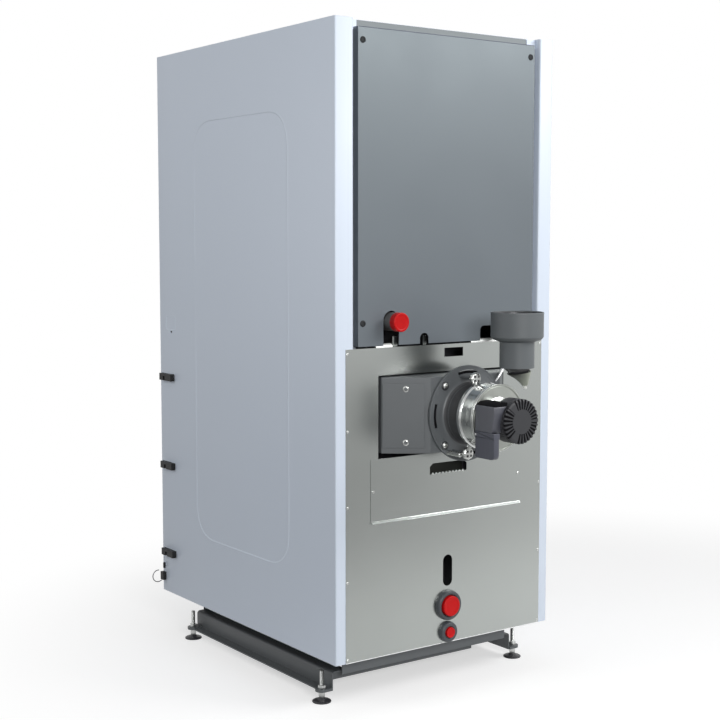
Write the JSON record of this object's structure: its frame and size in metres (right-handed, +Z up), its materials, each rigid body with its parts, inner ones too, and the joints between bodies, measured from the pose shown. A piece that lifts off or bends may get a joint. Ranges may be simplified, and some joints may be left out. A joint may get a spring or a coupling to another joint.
{
  "type": "pellet boiler",
  "caption": "Floor-standing pellet boiler: tall sheet-metal casing on a raised base frame with levelling feet, and a rear flue box, flue fan, flue adapter and capped pipe stubs.",
  "frame": {"origin": "bottom centre of the whole part's box, on the floor under the levelling feet", "axes": "+Z up; -Y is the front and +Y the rear, with the flue, fan and pipe stubs; +X is the side with the cable clips"},
  "size_m": [0.6621, 1.065, 1.51],
  "materials": {
    "casing_white": "semi-gloss powder coat",
    "panel_grey": "satin grey powder coat",
    "bare_sheet": "rolled bare sheet",
    "frame_paint": "satin anthracite",
    "foot_steel": "zinc plated",
    "body_dark": "matt black",
    "bright_steel": "polished",
    "motor_black": "satin black",
    "black_plastic": "moulded",
    "grey_plastic": "moulded",
    "spout_plastic": "moulded",
    "red_cap": "moulded",
    "grey_rubber": "moulded",
    "pipe_steel": "dark mill finish"
  },
  "bodies": {
    "root": {"base_beam_right": "frame_paint", "base_beam_left": "frame_paint", "base_rear_channel": "frame_paint", "base_front_channel": "frame_paint", "base_cross_rail": "frame_paint", "foot_rear_right": "foot_steel", "foot_rear_left": "foot_steel", "foot_front_right": "foot_steel", "foot_front_left": "foot_steel", "boiler_body": "body_dark", "side_panel_right": "casing_white", "side_panel_left": "casing_white", "top_cover": "casing_white", "rear_upper_panel": "panel_grey", "rear_lower_panel": "bare_sheet", "rear_access_cover": "bare_sheet", "access_handle": "black_plastic", "front_upper_panel": "casing_white", "front_lower_panel": "casing_white", "flue_box": "frame_paint", "flue_box_cover": "frame_paint", "fan_flange": "frame_paint", "fan_housing": "bright_steel", "fan_front_plate": "bare_sheet", "fan_clamp_top": "bright_steel", "fan_clamp_bottom": "bright_steel", "fan_motor": "motor_black", "motor_end_cap": "motor_black", "motor_terminal_box": "motor_black", "motor_connector_box": "motor_black", "flue_adapter": "grey_plastic", "adapter_cone": "spout_plastic", "adapter_bracket": "frame_paint", "flow_pipe": "pipe_steel", "flow_cap": "red_cap", "return_grommet": "grey_rubber", "return_cap": "red_cap", "drain_grommet": "grey_rubber", "drain_cap": "red_cap", "cable_clip_upper": "black_plastic", "cable_clip_middle": "black_plastic", "cable_clip_lower": "black_plastic", "ring_bracket": "black_plastic", "hanger_ring": "bright_steel", "side_pin": "black_plastic"}
  },
  "joints": []
}
